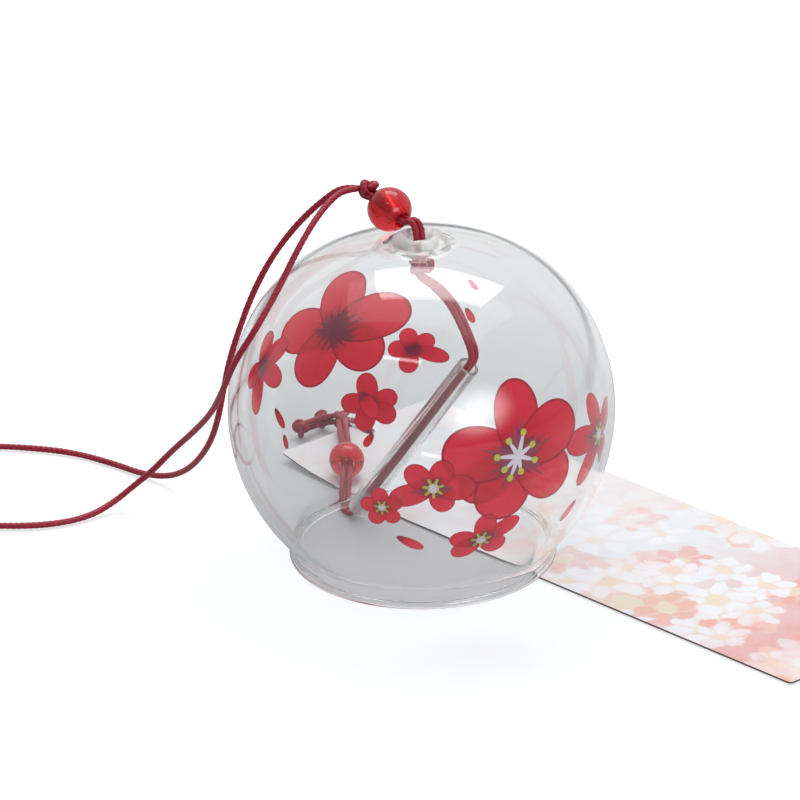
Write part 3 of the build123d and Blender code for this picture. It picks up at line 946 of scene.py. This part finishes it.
# Lower cord: both strands of the same red cord, out of the tube's foot and under the lip, which stands on
# them, then through the lower bead to the tie knot. They bend where they come out from under the lip.
lower_route = [
    (-14.1, 18.64, 2.06), (-14.87, 19.24, 0.73), (-16.28, 21.6, 0.73), (-16.44, 21.85, 0.73),
    (-17.31, 26.9, 1.73), (-16.69, 33.8, 4.85), (-17.07, 44.49, 4.85), (-17.9, 55.8, 4.65),
    (-18.56, 66.62, 3.39),
]
across_lip = (0.97, 0.26, 0)
lip_apart = 0.74
lower_a, lower_a_route = twisted_cord("lower_strand_a", moved(lower_route, across_lip, lip_apart))
lower_b, lower_b_route = twisted_cord("lower_strand_b", moved(lower_route, across_lip, -lip_apart))
for strand in (lower_a, lower_b):
    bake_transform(strand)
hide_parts("foot_cord", "bead_cord")

# Card loop and tail: one turn of the same red cord through the card's hole, held by the tie knot, and the
# cord's two ends beyond that knot, one above the other, which the tail knot and the end knot hold together.
card_turn, _ = twisted_cord(
    "card_loop_turn",
    [
        (-18.2, 66.4, 3.39), (-13.43, 63.6, 3.6), (-11.9, 62.7, 3.2), (-11.9, 62.7, 1.0),
        (-13.43, 63.6, 0.73), (-16.0, 65.0, 0.9), (-17.85, 66.1, 2.75),
    ],
)
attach(card_turn, "card")
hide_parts("card_loop")
tail = [(-20.3, 67.3, 3.0), (-23.2, 68.6, 2.5), (-28.4, 62.6, 2.5)]
up = (0, 0, 1)
tail_apart = 0.75
tail_a, _ = twisted_cord("tail_strand_a", moved(tail, up, tail_apart))
tail_b, _ = twisted_cord("tail_strand_b", moved(tail, up, -tail_apart))
for strand in (tail_a, tail_b):
    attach(strand, "streamer")
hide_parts("tail_cord")

# Paper card: a smooth white strip of card, cut square and tied by a hole near its end, lying under the bell.
# It is printed with a loose scatter of round flowers in coral, peach and white, about 20 mm apart.

# Printed card: pale and matt, its print soft at the edges, with a coral wash that grows to the far end and
# painted shade on its upright edges.
card_paper, tree, out = new_material("printed_card")
spot = add(tree, "ShaderNodeTexCoord")
on_card = add(
    tree,
    "ShaderNodeMapping",
    {"Vector": spot.outputs["Object"], "Rotation": (0, 0, radians(46.5)), "Scale": (1 / mm, 1 / mm, 0)},
)
wash = add(tree, "ShaderNodeTexNoise", {"Vector": on_card.outputs[0], "Scale": 1 / 6.0, "Detail": 3.0})
wander = add(
    tree,
    "ShaderNodeVectorMath",
    {0: wash.outputs["Color"], 1: (0.5, 0.5, 0.5)},
    operation="SUBTRACT",
)
wander = add(tree, "ShaderNodeVectorMath", {0: wander.outputs[0], "Scale": 6.0}, operation="SCALE")
brushed = add(tree, "ShaderNodeVectorMath", {0: on_card.outputs[0], 1: wander.outputs[0]}, operation="ADD")
paper_tone = add(
    tree,
    "ShaderNodeMix",
    {"Factor": wash.outputs["Fac"], "A": srgb("EFF0F4"), "B": srgb("E9ECF1")},
    data_type="RGBA",
)
along_print = add(tree, "ShaderNodeSeparateXYZ", {0: on_card.outputs[0]})
uneven = add(
    tree,
    "ShaderNodeMath",
    {0: wash.outputs["Fac"], 1: 30.0, 2: along_print.outputs["X"]},
    operation="MULTIPLY_ADD",
)
blush = add(
    tree,
    "ShaderNodeMapRange",
    {"Value": uneven.outputs[0], "From Min": 50.0, "From Max": 100.0, "To Max": 0.9},
)
print_tone = add(
    tree,
    "ShaderNodeMix",
    {"Factor": blush.outputs[0], "A": paper_tone.outputs["Result"], "B": srgb("ECA59E")},
    data_type="RGBA",
).outputs["Result"]
strong = add(
    tree,
    "ShaderNodeMapRange",
    {"Value": along_print.outputs["X"], "From Min": 0.0, "From Max": 55.0, "To Min": 0.15, "To Max": 1.0},
)
# Four printings, one over the other: each has its flowers' spacing, size, shift, petal tones and heart tone,
# and how much of it is kept at the far end.
for spacing, size, shift, petal_tones, heart_tone, kept in (
    (27.0, 13.0, 3.0, ("F4BEBB", "F4CDBE"), "F2E2CC", 1.0),
    (19.0, 9.0, 40.0, ("F8F9FD", "F1F3F8"), "F3E4D0", 0.4),
    (24.0, 7.5, 83.0, ("F0ABA8", "F2C6B2"), "EFE0C6", 1.0),
    (17.0, 7.0, 27.0, ("F9FAFE", "F4F3F8"), "F4E3D4", 0.4),
):
    place = add(
        tree,
        "ShaderNodeVectorMath",
        {0: brushed.outputs[0], 1: (shift, shift * 1.7, 0)},
        operation="ADD",
    )
    cells = add(
        tree,
        "ShaderNodeTexVoronoi",
        {"Vector": place.outputs[0], "Scale": 1 / spacing, "Randomness": 0.85},
        voronoi_dimensions="2D",
    )
    inside = add(
        tree,
        "ShaderNodeVectorMath",
        {0: place.outputs[0], 1: cells.outputs["Position"]},
        operation="SUBTRACT",
    )
    axes = add(tree, "ShaderNodeSeparateXYZ", {0: inside.outputs[0]})
    reach = add(tree, "ShaderNodeVectorMath", {0: inside.outputs[0]}, operation="LENGTH")
    bearing = add(tree, "ShaderNodeMath", {0: axes.outputs["Y"], 1: axes.outputs["X"]}, operation="ARCTAN2")
    lobes = add(tree, "ShaderNodeMath", {0: bearing.outputs[0], 1: 6.0}, operation="MULTIPLY")
    lobes = add(tree, "ShaderNodeMath", {0: lobes.outputs[0]}, operation="COSINE")
    rim = add(
        tree,
        "ShaderNodeMapRange",
        {"Value": lobes.outputs[0], "From Min": -1.0, "To Min": 0.72 * size, "To Max": size},
    )
    depth = add(tree, "ShaderNodeMath", {0: rim.outputs[0], 1: reach.outputs["Value"]}, operation="SUBTRACT")
    flower = add(tree, "ShaderNodeMapRange", {"Value": depth.outputs[0], "From Min": 0.0, "From Max": 1.0})
    flower = add(tree, "ShaderNodeMath", {0: flower.outputs[0], 1: strong.outputs[0]}, operation="MULTIPLY")
    faded = add(
        tree,
        "ShaderNodeMapRange",
        {
            "Value": uneven.outputs[0],
            "From Min": 75.0,
            "From Max": 105.0,
            "To Min": 1.0,
            "To Max": kept,
        },
    )
    flower = add(tree, "ShaderNodeMath", {0: flower.outputs[0], 1: faded.outputs[0]}, operation="MULTIPLY")
    pick = add(tree, "ShaderNodeSeparateXYZ", {0: cells.outputs["Color"]})
    petal_tone = add(
        tree,
        "ShaderNodeMix",
        {"Factor": pick.outputs["X"], "A": srgb(petal_tones[0]), "B": srgb(petal_tones[1])},
        data_type="RGBA",
    )
    furrow = add(
        tree,
        "ShaderNodeMapRange",
        {
            "Value": lobes.outputs[0],
            "From Min": -0.9,
            "From Max": -0.4,
            "To Min": 0.5,
            "To Max": 0.0,
        },
    )
    petal_tone = add(
        tree,
        "ShaderNodeMix",
        {"Factor": furrow.outputs[0], "A": petal_tone.outputs["Result"], "B": srgb("F4DCD6")},
        data_type="RGBA",
    )
    heart = add(
        tree,
        "ShaderNodeMapRange",
        {"Value": reach.outputs["Value"], "From Min": 0.34 * size, "From Max": 0.24 * size},
    )
    petal_tone = add(
        tree,
        "ShaderNodeMix",
        {"Factor": heart.outputs[0], "A": petal_tone.outputs["Result"], "B": srgb(heart_tone)},
        data_type="RGBA",
    )
    print_tone = add(
        tree,
        "ShaderNodeMix",
        {"Factor": flower.outputs[0], "A": print_tone, "B": petal_tone.outputs["Result"]},
        data_type="RGBA",
    ).outputs["Result"]
# Painted shade: the card's upright edges are painted dark grey-brown, as if they stood in shadow.
facing = add(tree, "ShaderNodeNewGeometry")
facing = add(tree, "ShaderNodeSeparateXYZ", {0: facing.outputs["True Normal"]})
upright = add(tree, "ShaderNodeMath", {0: facing.outputs["Z"]}, operation="ABSOLUTE")
painted_edge_shade = add(tree, "ShaderNodeMapRange", {"Value": upright.outputs[0], "From Min": 0.7, "From Max": 0.3})
print_tone = add(
    tree,
    "ShaderNodeMix",
    {"Factor": painted_edge_shade.outputs[0], "A": print_tone, "B": srgb("7A6466")},
    data_type="RGBA",
).outputs["Result"]
fibre = add(
    tree,
    "ShaderNodeTexNoise",
    {"Vector": spot.outputs["Object"], "Scale": 1 / (0.4 * mm), "Detail": 2.0},
)
tooth = add(
    tree,
    "ShaderNodeBump",
    {"Height": fibre.outputs["Fac"], "Strength": 0.08, "Distance": 0.05 * mm},
)
look = add(
    tree,
    "ShaderNodeBsdfPrincipled",
    {"Base Color": print_tone, "Roughness": 0.5, "Normal": tooth.outputs["Normal"]},
)
tree.links.new(look.outputs[0], out.inputs["Surface"])
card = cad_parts["paper_card"]
card.data.materials.clear()
card.data.materials.append(card_paper)
